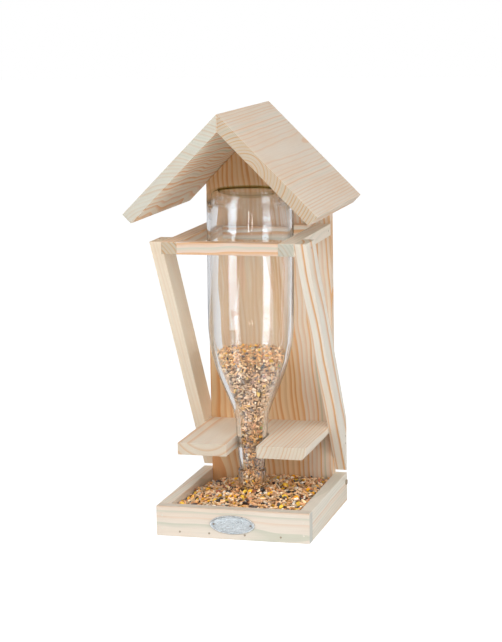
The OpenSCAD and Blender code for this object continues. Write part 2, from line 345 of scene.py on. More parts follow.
PANELS = (  # name, azimuth, share of the panel light, share of the panel shine
    ("panel_left", -33.0, 0.75, 1.25),
    ("panel_right", 62.5, 1.3, 0.7),
)
PANEL_PLACE, SHINE_PLACE = 1.3, 0.8  # how far off the panels stand, as lamps and as mirrored
PANEL_COLOUR, SHINE_COLOUR = (0.98, 1.0, 1.03), (0.62, 0.83, 1.0)
PANEL_WIDTH, PANEL_HEIGHT, PANEL_LIFT = 0.40, 0.88, 0.45  # shares of how far off they stand
STRIPS = (  # name, azimuth, height and foot of the thin lines of shine on the glass
    ("strip_left", 11.5, 0.055, 0.128),
    ("strip_right", 20.6, 0.025, 0.137),
)
STRIP_PLACE, STRIP_WIDTH, STRIP_GAIN = 1.2, 0.04, 4  # gain: against the panels' shine
HIGH_PLACE, HIGH_WIDTH, HIGH_DEPTH = 1.9, 1.5, 1.0  # the wide light high in front
FLOOR_REACH, FLOOR_Z = 8000.0, -0.2  # millimetres
FLOOR_GLOW, FLOOR_GLOW_THROUGH = 1.36, 0.86  # looked at, and seen through the glass


def direction(azimuth, elevation=0.0):
    """Unit vector from the feeder towards an azimuth and an elevation in degrees."""
    a, e = math.radians(azimuth), math.radians(elevation)
    return Vector((math.sin(a) * math.cos(e), -math.cos(a) * math.cos(e), math.sin(e)))


def panel_lamp(name, place, target, width, height, radiance, colour=(1, 1, 1), mirrored=False):
    """A rectangular lamp that faces a point. It either lights things or is mirrored by them."""
    data = bpy.data.lights.new(name, "AREA")
    data.shape, data.size, data.size_y = "RECTANGLE", width, height
    data.energy, data.color = radiance * math.pi * width * height, colour
    lamp = bpy.data.objects.new(name, data)
    lamp.location = place
    lamp.rotation_euler = (Vector(target) - Vector(place)).to_track_quat("-Z", "Y").to_euler()
    lamp.visible_camera = False
    lamp.visible_diffuse, lamp.visible_glossy = not mirrored, mirrored
    bpy.context.scene.collection.objects.link(lamp)


class FEEDER_OT_stage(bpy.types.Operator):
    """Make the camera, floor, lamps and background"""

    bl_idname = "feeder.stage"
    bl_label = "Stage"

    def execute(self, context):
        settings = context.scene.feeder_stage
        context.scene.view_settings.view_transform = "Standard"
        self.place_camera(context.scene, settings)
        self.light_world(context.scene, settings)
        self.lay_floor(settings)
        self.hang_lamps(settings)
        return {"FINISHED"}

    @staticmethod
    def place_camera(scene, settings):
        """A camera that is turned, then dropped, then rolled a little."""
        turn, drop, roll = settings.camera_turn, settings.camera_drop, settings.camera_roll
        ahead = Vector((-math.sin(turn) * math.cos(drop), math.cos(turn) * math.cos(drop),
                        -math.sin(drop)))
        side = Vector((math.cos(turn), math.sin(turn), 0))
        up = side.cross(ahead)
        right = math.cos(roll) * side + math.sin(roll) * up
        over = -math.sin(roll) * side + math.cos(roll) * up
        data = bpy.data.cameras.new("camera")
        data.lens, data.sensor_width, data.sensor_fit = settings.lens, 36, "AUTO"
        data.clip_start, data.clip_end = 0.05, 60
        camera = bpy.data.objects.new("camera", data)
        camera.matrix_world = Matrix.Translation(settings.camera_place) @ Matrix(
            (right, over, -ahead)).transposed().to_4x4()
        scene.collection.objects.link(camera)
        scene.camera = camera

    @staticmethod
    def hang_lamps(settings):
        """Two tall panels that light the object and are mirrored by it, thin strips that are
        only mirrored, and a wide light high in front."""
        for name, azimuth, share, glint in PANELS:
            for kind, level, reach, colour in (
                    ("", settings.panel * share, PANEL_PLACE, PANEL_COLOUR),
                    ("_shine", settings.shine * glint, SHINE_PLACE, SHINE_COLOUR)):
                place = direction(azimuth) * reach + Vector((0, 0, PANEL_LIFT * reach))
                panel_lamp(name + kind, place, (0, 0, place.z), PANEL_WIDTH * reach,
                           PANEL_HEIGHT * reach, level, colour, kind == "_shine")
        for name, azimuth, height, foot in STRIPS:
            middle = Vector((0, 0, foot + height / 2))
            panel_lamp(name, direction(azimuth) * STRIP_PLACE + middle, middle, STRIP_WIDTH,
                       height, settings.shine * STRIP_GAIN, mirrored=True)
        panel_lamp("high", direction(4, 44) * HIGH_PLACE, (0, 0, 0.2), HIGH_WIDTH, HIGH_DEPTH,
                   settings.high)

    @staticmethod
    def light_world(scene, settings):
        """White to look at, a plain light on the object, dimmer walls for it to mirror, and pale
        grey beyond the glass."""
        world = bpy.data.worlds.new("studio")
        scene.world = world
        world.use_nodes = True
        shade = Shade(None, world.node_tree)
        way = shade.node("TexCoord", out="Generated")
        height = way.dot((0, 0, 1)).maths("MAXIMUM", 0.0)
        ahead = way.dot(direction(math.degrees(settings.camera_turn) + 180))
        behind = ahead.step(-0.1, 0.85)
        beside = way.dot(direction(105)).step(0.1, 0.9)

        def glow(tint, level):
            """A background of one tint, whose level changes with the way one looks."""
            colour = shade.join(*(level * c for c in tint))
            return shade.node("Background", None, {"Color": colour})

        plain = glow((1.0, 0.98, 0.95), settings.fill * 1.45 - height * (settings.fill * 1.15))
        walls = glow((0.90, 0.93, 1.0), behind * 0.4 + beside * 0.9 + 0.75)
        beyond = glow((0.97, 0.98, 1.0), ahead.step(0.75, 0.97) * 0.14 + 0.66)
        white = shade.node("Background", None, {"Color": (1, 1, 1, 1), "Strength": 1.0})
        path = {name: shade.node("LightPath", out=name) for name in (
            "Is Camera Ray", "Is Transmission Ray", "Is Glossy Ray")}
        both = shade.node("MixShader", None, {0: path["Is Glossy Ray"], 1: plain, 2: walls})
        both = shade.node("MixShader", None, {0: path["Is Transmission Ray"], 1: both, 2: beyond})
        both = shade.node("MixShader", None, {0: path["Is Camera Ray"], 1: both, 2: white})
        shade.node_output(both, "OutputWorld")

    @staticmethod
    def lay_floor(settings):
        """A wide white floor that keeps a faint shadow."""
        corners = [(x * FLOOR_REACH, y * FLOOR_REACH, FLOOR_Z)
                   for x, y in ((-1, -1), (1, -1), (1, 1), (-1, 1))]
        mesh = solid("floor", corners, [(0, 1, 2, 3)])
        floor = bpy.data.objects.new("floor", mesh)
        bpy.context.scene.collection.objects.link(floor)
        shade = Shade("floor")
        through = shade.node("LightPath", out="Is Transmission Ray")
        seen = shade.node("LightPath", out="Is Camera Ray").maths("MAXIMUM", through)
        matt = shade.node("BsdfDiffuse", None, {"Color": (*settings.floor_colour, 1)})
        white, softer = (
            shade.node("Emission", None, {"Color": (1, 1, 1, 1), "Strength": strength})
            for strength in (FLOOR_GLOW, FLOOR_GLOW_THROUGH))
        white = shade.node("MixShader", None, {0: through, 1: white, 2: softer})
        mirror = shade.node("BsdfGlossy", None, {"Roughness": 0.03})
        glossy = shade.node("LightPath", out="Is Glossy Ray")
        both = shade.node("MixShader", None, {0: glossy * 0.6, 1: matt, 2: mirror})
        both = shade.node("MixShader", None, {0: seen * 0.7, 1: both, 2: white})
        shade.node_output(both)
        mesh.materials.append(shade.material)


# Boards

@dataclass
class Board:
    """How a board lay in its log, in millimetres in the frame, and how it is marked."""

    pith: tuple            # a point of the log's middle line
    along: tuple           # the way the grain runs
    gap: float             # width of a year's ring
    closing: float = 0.0   # how much closer together the rings lie farther out
    phase: float = 0.0     # where the first ring falls
    strength: float = 0.7  # how clear the ring lines are
    wander: float = 2.0    # how far the lines stray
    cool: float = 0.3      # how many of the lines are grey-green
    cream: float = 0.0     # how pale the board is
    thick: float = 0.5     # how much of a ring its line takes
    heart: float = 0.0     # how far from the pith the orange heartwood reaches
    calm: float = 0.0      # how far from the pith the lines stay faint, halfway up the board
    end: tuple = (0.68, 0.68, 0.63)  # tint of the end grain
    end_lines: float = 1.1           # how clear the ring lines are there
    stain: tuple = (1.0, 1.0, 1.0)   # tint of the whole board


BOARDS = {
    "tray_front_rail": Board(
        (0, -44, 4), (1, 0.012, 0.01), 3.3, phase=0.1, strength=0.8, wander=1.6, cool=0.45,
        cream=0.5, end=(0.84, 0.93, 0.98), end_lines=0.3, stain=(0.935, 0.965, 1.01)),
    "tray_left_rail": Board(
        (-24, 0, 14), (0.07, 1, 0.02), 2.9, phase=0.3, wander=1.5, cool=0.5, cream=0.8),
    "tray_right_rail": Board(
        (58, 0, -44), (0, 1, 0.015), 3.2, phase=0.6, strength=0.6, cool=0.6, cream=0.8,
        stain=(1.01, 1.04, 1.06)),
    "tray_floor": Board(
        (12, 0, -42), (0.02, 1, 0.01), 3.6, phase=0.2, strength=0.8, wander=2.5),
    "back_board": Board(
        (-60, 107, 0), (-0.08, -0.03, 1), 4.8, phase=0.4, strength=1.5, wander=5.0, cool=0.05,
        thick=0.6, heart=99, calm=92),
    "roof_left": Board(
        (-43, 0, 258), (0.03, 1, -0.03), 3.2, phase=0.5, strength=1.6, wander=5.0, cool=0.25,
        cream=0.6, thick=0.55, end=(0.64, 0.69, 0.72), end_lines=0.5, stain=(1.04, 1.05, 1.03)),
    "roof_right": Board(
        (25, 0, 349), (0.0, 1, 0.012), 3.0, phase=0.3, strength=0.9, wander=0.9, cool=0.12,
        cream=0.1, thick=0.35, end=(0.66, 0.65, 0.61), end_lines=1.5, stain=(0.955, 0.975, 0.99)),
    "collar_front_bar": Board(
        (0, -61, 246), (1, 0.0, 0.012), 5.0, phase=0.3, strength=1.1, wander=6.0, cool=0.2,
        cream=-0.4, thick=0.8, stain=(0.88, 0.89, 0.94)),
    "collar_left_bar": Board(
        (-92, 0, 246), (0.01, 1, 0.02), 3.4, phase=0.3, strength=1.0, wander=1.2, cool=0.2,
        end=(0.62, 0.65, 0.62)),
    "collar_right_bar": Board(
        (34, 0, 262), (0.02, 1, 0.02), 3.3, phase=0.1, strength=0.9, wander=2.6, cool=0.5,
        cream=1.0, end=(0.57, 0.6, 0.59)),
    "collar_back_bar": Board(
        (0, 92, 240), (1, 0.02, 0.02), 5.2, phase=0.8, strength=1.4, wander=4.0, cream=0.4,
        thick=0.8),
    "strut_left": Board(
        (-112, 10, 160), (0.02, 0.535, -0.845), 3.6, phase=0.5, strength=0.14, cool=0.1,
        cream=0.85, stain=(1.08, 1.05, 0.99)),
    "strut_right": Board(
        (24, 10, 160), (0.01, 0.535, -0.845), 6.4, phase=0.15, strength=1.8, wander=1.5, cool=0.0,
        cream=0.85, thick=0.4, stain=(1.0, 1.04, 1.08)),
    "neck_shelf": Board(
        (-35, 0, 104), (0.01, 1, 0.012), 13.5, closing=0.00254, phase=0.43, strength=0.85,
        wander=0.8, cool=0.05, cream=0.8, thick=0.4, end=(0.78, 0.77, 0.74), end_lines=0.7),
}


def blend(first, second, share):
    """A colour between two."""
    return tuple(a + (b - a) * share for a, b in zip(first, second))


def pine(name, settings, seed):
    """Softwood cut from a log: rings about a pith line, fibres along it, and tinted end grain."""
    board = BOARDS[name]
    along = Vector(board.along).normalized()
    across = along.orthogonal().normalized()
    third = along.cross(across)
    shade = Shade("pine_" + name)
    here = shade.place() - board.pith
    t, u, v = here.dot(along), here.dot(across), here.dot(third)

    # Rings: they stray slowly from the pith line, and no two of them are alike
    slow = shade.noise(shade.join(t / 62.0 + seed * 3.7, u / 45.0, v / 45.0), 1.0, 1.0,
                       out="Color")
    shift = (slow - 0.5) * (2.0 * board.wander)
    u_bent, v_bent = u + shift.dot((1, 0, 0)), v + shift.dot((0, 1, 0))
    radius = (u_bent * u_bent + v_bent * v_bent).maths("SQRT")
    uneven = shade.node("TexNoise", {"noise_dimensions": "1D"}, {
        "W": radius / (board.gap * 1.9) + seed * 5.1, "Scale": 1.0, "Detail": 1.0})
    ring = radius / board.gap + radius * radius * (board.closing / 2) + uneven * 0.5 + board.phase
    number = ring.maths("FLOOR")
    part = ring - number
    luck = shade.node("TexWhiteNoise", {"noise_dimensions": "1D"}, {"W": number + seed * 11.3},
                      "Value")
    hue = shade.node("TexWhiteNoise", {"noise_dimensions": "1D"},
                     {"W": number + seed * 17.9 + 40.5}, "Value")
    late = part.step(0.9 - board.thick, 0.9) * (1.0 - part.step(0.93, 1.0)) * (luck * 0.7 + 0.3)

    # Fibres, resin ducts and patches of paler and warmer wood
    fibre = shade.noise(shade.join(t * 0.025, u * 1.1, v * 1.1), 1.0, 4.0, 0.6)
    duct = shade.noise(shade.join(t * 0.11, u * 2.4, v * 2.4), 1.0, 1.0).step(0.66, 0.76)
    patch = shade.noise(shade.join(t / 120.0, u / 26.0, v / 26.0) + seed * 2.3, 1.0, 2.0)
    early = blend(settings.early, settings.cream, board.cream)
    pale = shade.mix(patch.step(0.35, 0.68), early,
                     blend(early, settings.blush, 0.6 - 0.4 * board.cream))
    if board.heart:
        inside = (patch * 40.0 + (board.heart - 20.0) - radius).step(-6.0, 6.0)
        pale = shade.mix(inside, pale, tuple(settings.heart))
    line = shade.mix(hue.step(board.cool - 0.08, board.cool + 0.08), tuple(settings.cool),
                     tuple(settings.late))
    if board.heart:
        line = shade.mix(inside, line, line * (0.93, 0.8, 0.66))

    # The cut ends, and the quiet middle that some boards have
    normal = shade.node("NewGeometry", out="Normal")
    end = normal.dot(along).maths("ABSOLUTE").step(0.72, 0.96)
    clear = (late * (end * (board.end_lines - board.strength) + board.strength)).maths(
        "MINIMUM", 1.0)
    if board.calm:
        calm = (1.0 - (radius + patch * 30.0).step(board.calm, board.calm + 30.0)) * t.step(
            120.0, 180.0) * (1.0 - t.step(300.0, 325.0))
        streak = shade.noise(shade.join(t / 90.0, u_bent / 9.0, v_bent / 9.0), 1.0, 1.0)
        clear = clear * (1.0 - calm * 0.7)
        pale = shade.mix(streak.step(0.5, 0.66) * calm * 0.7, pale, (0.86, 0.52, 0.30))
        pale = shade.mix((1.0 - streak).step(0.5, 0.66) * calm * 0.5, pale, (0.82, 0.70, 0.52))

    colour = shade.mix(clear, pale, line)
    colour = shade.mix(duct * 0.22, colour, (0.55, 0.34, 0.19))
    colour = shade.mix(end, colour, colour * board.end)
    colour = colour * ((fibre - 0.5) * 0.2 + 1.0) * board.stain
    return shade.finish({
        "Base Color": colour,
        "Roughness": fibre * 0.25 + 0.52 - late * 0.1,
        "Specular IOR Level": 0.3,
        "Normal": shade.bump(fibre * 0.6 + late * 0.5 - duct * 0.4, 0.00025, 0.5),
    })


def eased(name, ease):
    """A copy of a CAD board with its long edges slightly rounded."""
    shape = bmesh.new()
    shape.from_mesh(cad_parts[name].data)
    bmesh.ops.remove_doubles(shape, verts=shape.verts, dist=1e-6)
    bmesh.ops.dissolve_limit(shape, angle_limit=math.radians(0.5), verts=shape.verts,
                             edges=shape.edges)
    sharp = [e for e in shape.edges if len(e.link_faces) == 2 and e.calc_length() > 0.007
             and e.calc_face_angle(0.0) > math.radians(25)]
    bmesh.ops.bevel(shape, geom=sharp, offset=ease, segments=2, profile=0.5, affect="EDGES",
                    clamp_overlap=True)
    mesh = bpy.data.meshes.new(name + "_board")
    shape.to_mesh(mesh)
    shape.free()
    return mesh


class FEEDER_OT_boards(bpy.types.Operator):
    """Make the pine boards of the tray, back, roof, collar, struts and shelf"""

    bl_idname = "feeder.boards"
    bl_label = "Boards"

    def execute(self, context):
        settings = context.scene.feeder_pine
        for seed, name in enumerate(BOARDS):
            piece(name + "_board", eased(name, settings.ease), STAND, name,
                  pine(name, settings, seed + 1.0))
        return {"FINISHED"}


# Bottle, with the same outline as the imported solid, in millimetres

AXIS_Y = 7.0
LEAN = math.radians(0.6)     # to the right, about the height of the shelf
LEAN_Z = 71.0
MOUTH_Z, BASE_Z = 31.5, 324.5
LIP, EDGE = 1.6, 0.9         # rounding of the mouth and of the band round it
BODY_R, BORE_R, GLASS_T, BASE_T = 41.5, 9.2, 4.2, 2.0
BODY_THIN = 1.2              # how much thinner the body's wall is than the neck's
BAND_R, BAND_Z, NECK_LOW_R, NECK_HIGH_R = 13.6, 51.0, 12.1, 15.5
NECK_Z, SHOULDER_Z, FLARE_R = 90.0, 200.0, 70.0
STRAIGHT = 23.7              # the cone between the neck's curve and the shoulder
HEEL_R, RING_W, RING_H, PUNT_DEPTH = 10.0, 1.0, 2.7, 7.0
PUNT_R = BODY_R - HEEL_R - RING_W
PUNT_BALL_R = (PUNT_R ** 2 + PUNT_DEPTH ** 2) / (2 * PUNT_DEPTH)
PUNT_BALL_Z = BASE_Z - PUNT_DEPTH + PUNT_BALL_R
RISE = SHOULDER_Z - NECK_Z
SLANT = 2 * math.atan((BODY_R - NECK_HIGH_R) / (RISE + STRAIGHT))
SHOULDER_R = (RISE - STRAIGHT * math.cos(SLANT)) / math.sin(SLANT) - FLARE_R


def upturned(points):
    """Puts points about the Z axis where the bottle stands, with its small lean."""
    x, y, z = np.asarray(points, dtype=float).T
    z = z - LEAN_Z
    return np.stack([x * math.cos(LEAN) + z * math.sin(LEAN), y + AXIS_Y,
                     z * math.cos(LEAN) - x * math.sin(LEAN) + LEAN_Z], 1)


def arc(centre_r, centre_z, radius, first, last, steps):
    """Points (radius, height) of an arc. Angles are from outwards, counted upwards."""
    for i in range(steps + 1):
        a = first + (last - first) * i / steps
        yield (centre_r + radius * math.cos(a), centre_z + radius * math.sin(a))


def wall(inset):
    """The neck's hollow curve, the shoulder and the body's side, set in from the outside."""
    yield from arc(NECK_HIGH_R + FLARE_R, NECK_Z, FLARE_R + inset, math.pi, math.pi - SLANT, 14)
    yield from arc(BODY_R - SHOULDER_R, SHOULDER_Z, SHOULDER_R - inset, -SLANT, 0.0, 20)


def outer_profile():
    """From the lip up to the middle of the punt."""
    rings = list(arc(BORE_R + LIP, MOUTH_Z + LIP, LIP, -math.pi, -math.pi / 2, 5))
    rings += arc(BAND_R - LIP, MOUTH_Z + LIP, LIP, -math.pi / 2, 0, 5)
    rings += arc(BAND_R - EDGE, BAND_Z - EDGE, EDGE, 0, math.pi / 2, 4)
    rings += arc(NECK_LOW_R + EDGE, BAND_Z + EDGE, EDGE, -math.pi / 2, -math.pi, 4)
    rings += wall(0.0)
    for i in range(1, 12):
        rings.append((BODY_R, SHOULDER_Z + (BASE_Z - HEEL_R - SHOULDER_Z) * i / 12))
    rings += arc(BODY_R - HEEL_R, BASE_Z - HEEL_R, HEEL_R, 0, math.pi / 2, 14)
    rings += [(PUNT_R + 0.3, BASE_Z - 0.1), (PUNT_R, BASE_Z - 0.4),
              (PUNT_R - 0.9, BASE_Z - RING_H)]
    for i in range(12, -1, -1):
        share = i / 12
        rings.append(((PUNT_R - 1.4) * share,
                      BASE_Z - PUNT_DEPTH + (PUNT_DEPTH - RING_H) * share ** 2))
    return rings


def inner_profile():
    """From the lip up the bore to the middle of the bottle's floor. The body's wall is thinner."""
    inner_r = BODY_R - GLASS_T
    heel = HEEL_R - GLASS_T
    ball = PUNT_BALL_R + BASE_T
    reach = inner_r - heel
    floor_z = PUNT_BALL_Z - math.sqrt(ball ** 2 - reach ** 2)
    rings = [(BORE_R, MOUTH_Z + LIP + (BAND_Z - MOUTH_Z - LIP) * i / 4) for i in range(5)]
    rings += wall(GLASS_T)
    for i in range(1, 12):
        thin = BODY_THIN * min(1.0, i / 4) * min(1.0, (12 - i) / 3)
        rings.append((inner_r + thin, SHOULDER_Z + (floor_z - heel - SHOULDER_Z) * i / 12))
    rings += arc(inner_r - heel, floor_z - heel, heel, 0, math.pi / 2, 8)
    for i in range(10, -1, -1):
        a = math.asin(reach / ball) * i / 10
        rings.append((ball * math.sin(a), PUNT_BALL_Z - ball * math.cos(a)))
    return rings


def glass(settings):
    """Clear glass that lets lamps through. Its heel and lip let other light straight through as
    well, and the ring's inner side is dark, as the thick glass behind it is."""
    shade = Shade("clear_glass")
    here = shade.place() - (LEAN * (BASE_Z - LEAN_Z), AXIS_Y, 0)
    height = here.dot((0, 0, 1))
    geometry = {name: shade.node("NewGeometry", out=name) for name in (
        "Normal", "True Normal", "Backfacing")}
    flat = here * (1, 1, 0)
    inward = shade.node("VectorMath", {"operation": "DOT_PRODUCT"}, {
        0: shade.node("VectorMath", {"operation": "NORMALIZE"}, {0: flat}),
        1: geometry["True Normal"]}, "Value")
    ring = (inward * -1.0).step(0.2, 0.5) * height.step(BASE_Z - 4, BASE_Z - 3) * (
        1.0 - geometry["Backfacing"])
    thin = height.step(BASE_Z - 16, BASE_Z - 9).maths(
        "MAXIMUM", 1.0 - height.step(MOUTH_Z + 1.5, MOUTH_Z + 4))
    facing = shade.node("LayerWeight", None, {"Blend": 0.5}, "Facing")
    clear = shade.node("BsdfPrincipled", None, {
        "Base Color": shade.mix(facing ** 4, tuple(settings.tint), (0.25, 0.25, 0.30)),
        "Roughness": 0.0, "IOR": 1.5, "Transmission Weight": 1.0})
    light, dark = (shade.node("BsdfTransparent", None, {"Color": (*colour, 1)})
                   for colour in (settings.tint, settings.thick_tint))
    straight = shade.node("MixShader", None, {
        0: ring.maths("MAXIMUM", facing ** 7 * 0.7), 1: light, 2: dark})
    # Out of the glass it is a refraction that bends nothing, which is no transparent bounce:
    # there are more faces in a row here than light may pass by transparent bounces.
    leaving = shade.node("BsdfRefraction", None, {
        "Color": (*settings.tint, 1), "Roughness": 0.0, "IOR": 1.0})
    straight = shade.node("MixShader", None, {
        0: geometry["Backfacing"], 1: straight, 2: leaving})
    mirror = shade.node("BsdfGlossy", None, {"Roughness": 0.0})
    level = geometry["Normal"].dot((0, 0, 1)).maths("ABSOLUTE").step(0.4, 0.9)
    sheen = (facing ** 4 * 0.6 + 0.04) * (1.0 - geometry["Backfacing"]) * (1.0 - level * 0.85)
    edge = shade.node("MixShader", None, {0: sheen, 1: straight, 2: mirror})
    body = shade.node("MixShader", None, {0: thin, 1: clear, 2: edge})
    through = shade.node("BsdfTransparent", None, {"Color": (0.98, 0.98, 0.98, 1)})
    shadow = shade.node("LightPath", out="Is Shadow Ray")
    output = shade.node_output(shade.node("MixShader", None, {0: shadow, 1: body, 2: through}))
    thick = shade.node("VolumeAbsorption", None,
                       {"Color": (*settings.thick_tint, 1), "Density": settings.depth})
    shade.tree.links.new(thick.socket, output.inputs["Volume"])
    return shade.material


class FEEDER_OT_bottle(bpy.types.Operator):
    """Make the glass bottle, with its punt, knurled ring and finish"""

    bl_idname = "feeder.bottle"
    bl_label = "Bottle"

    def execute(self, context):
        settings = context.scene.feeder_bottle
        outside, inside = outer_profile(), inner_profile()
        rings = list(reversed(inside)) + outside
        inside_rings = len(inside)

        def ripple(i, radius, height, turn):
            """Fine waves inside the glass, and knurls on the ring outside."""
            if i < inside_rings:
                if height > BAND_Z:
                    at = Vector((math.cos(turn) * 0.9, math.sin(turn) * 0.9, height / 55.0))
                    radius += 0.28 * noise.noise(at) + 0.12 * noise.noise(at * 4.1)
                return radius, height
            ring = math.exp(-(((radius - BODY_R + HEEL_R + 0.5) / 2.5) ** 2))
            if height > BASE_Z - 4:
                height -= 1.1 * ring * (0.5 + 0.5 * math.cos(settings.knurls * turn))
            return radius, height

        points, faces = spun(rings, settings.knurls * 5, ripple)
        mesh = solid("glass_bottle", upturned(points), faces)
        piece("glass_bottle", mesh, BOTTLE, "bottle", glass(settings), True)
        return {"FINISHED"}


# Seed

def ball():
    """Points and triangles of a fine ball of radius 1."""
    shape = bmesh.new()
    bmesh.ops.create_icosphere(shape, subdivisions=2, radius=1.0)
    points = np.array([v.co for v in shape.verts])
    faces = np.array([[v.index for v in f.verts] for f in shape.faces])
    shape.free()
    return points, faces


def cut_chip(points, rng, planes=9):
    """A broken grain: the ball cut back by flat faces."""
    radius = np.full(len(points), 1.25)
    for _ in range(planes):
        way = rng.normal(size=3)
        way /= np.linalg.norm(way)
        facing = points @ way
        radius = np.minimum(radius, rng.uniform(0.55, 0.95) / np.maximum(facing, 0.05))
    return points * radius[:, None]


def long_grain(points, rng, tip=0.35, crease=0.25):
    """A whole grain: long, blunt at one end, with a crease along it."""
    x, y, z = points.T.copy()
    slim = 1.0 - tip * (x + 1) / 2
    z = z * slim
    y = y * slim
    z = z - crease * np.exp(-((y / 0.28) ** 2)) * (z < 0) * z * 1.6
    return np.stack([x, y, z], 1)


def drop_seed(points, rng):
    """A flat seed with one pointed end."""
    x, y, z = points.T.copy()
    slim = np.clip(1.0 - 0.75 * np.clip((x + 0.3) / 1.3, 0, 1) ** 1.5, 0.12, 1)
    return np.stack([x, y * slim, z * slim], 1)


def plain_grain(points, rng):
    """A round grain, a little uneven."""
    return points * (1 + rng.normal(0, 0.03, size=(len(points), 1)))


@dataclass
class Grain:
    """A kind of seed in the mix. Its grains' colours lie between the two given ones."""

    shape: callable
    half: tuple        # half sizes in millimetres
    spread: float      # how much the sizes differ
    in_bottle: float   # share of the mix in the bottle
    in_tray: float     # share of the mix in the tray
    first: tuple
    second: tuple
    gloss: float = 0.0


KINDS = {
    "maize": Grain(cut_chip, (2.6, 2.1, 1.4), 0.28, 0.045, 0.15,
                   (0.88, 0.38, 0.01), (0.94, 0.62, 0.07)),
    "white_chips": Grain(cut_chip, (2.3, 1.8, 1.1), 0.35, 0.08, 0.10,
                         (0.95, 0.76, 0.56), (0.98, 0.90, 0.78)),
    "pale_chips": Grain(cut_chip, (2.2, 1.6, 1.1), 0.3, 0.22, 0.22,
                        (0.90, 0.58, 0.34), (0.96, 0.72, 0.48)),
    "tan_chips": Grain(cut_chip, (1.9, 1.4, 1.0), 0.3, 0.22, 0.17,
                       (0.62, 0.30, 0.13), (0.88, 0.52, 0.27)),
    "splinters": Grain(cut_chip, (3.1, 0.9, 0.7), 0.25, 0.14, 0.05,
                       (0.80, 0.48, 0.22), (0.96, 0.70, 0.40)),
    "wheat": Grain(long_grain, (2.9, 1.35, 1.2), 0.12, 0.10, 0.17,
                   (0.74, 0.36, 0.12), (0.92, 0.54, 0.23)),
    "millet": Grain(plain_grain, (1.05, 1.0, 0.9), 0.12, 0.10, 0.05,
                    (0.82, 0.60, 0.26), (0.56, 0.20, 0.08), 0.15),
    "hulls": Grain(drop_seed, (3.2, 1.2, 0.6), 0.2, 0.03, 0.05,
                   (0.80, 0.62, 0.40), (0.60, 0.40, 0.20)),
    "dark_seeds": Grain(drop_seed, (3.3, 1.7, 1.15), 0.28, 0.055, 0.10,
                        (0.03, 0.024, 0.02), (0.12, 0.095, 0.08), 0.2),
    "nuts": Grain(plain_grain, (3.0, 2.1, 1.9), 0.2, 0.006, 0.06,
                  (0.34, 0.07, 0.03), (0.55, 0.24, 0.12), 0.25),
    "peas": Grain(plain_grain, (1.7, 1.5, 1.4), 0.1, 0.0015, 0.0,
                  (0.26, 0.42, 0.04), (0.38, 0.50, 0.10), 0.2),
}


def seed_material(place, kind):
    """Dry seed: each grain has its own colour, with mottling over it. In the bottle it is dusty
    against the shoulder, and painted shade of the shelf darkens it towards the neck."""
    grain = KINDS[kind]
    shade = Shade(place + kind)
    here = shade.place()
    own = shade.node("NewGeometry", out="Random Per Island")
    fine = shade.noise(here, 1.1, 3.0, 0.6)
    colour = shade.mix(own, grain.first, grain.second)
    light = (own * 37.0).maths("FRACT")
    colour = colour * ((fine - 0.5) * 0.6 + 1.0) * (light * 0.9 + 0.66)
    if kind == "dark_seeds":
        stripe = shade.noise(here, 2.2, 1.0).step(0.55, 0.7)
        colour = shade.mix(stripe * 0.3, colour, (0.24, 0.22, 0.20))
    if place == "bottle_":
        height = here.dot((0, 0, 1))
        dust = height.step(84, 112) * (1.0 - height.step(146, 160))
        # painted shade: the grains are darker towards the neck, where the shelf shades them
        painted_neck_shade = shade.mix(height.step(100, 150), (0.66, 0.54, 0.38), (0.83, 0.745, 0.60))
        colour = colour * shade.mix(dust, painted_neck_shade, (0.90, 0.87, 0.83))
        colour = shade.mix(dust * 0.4, colour, (0.69, 0.50, 0.37))
    return shade.finish({
        "Base Color": colour,
        "Roughness": fine * 0.2 + (0.5 - grain.gloss),
        "Normal": shade.bump(fine, 0.0004, 0.6),
    })


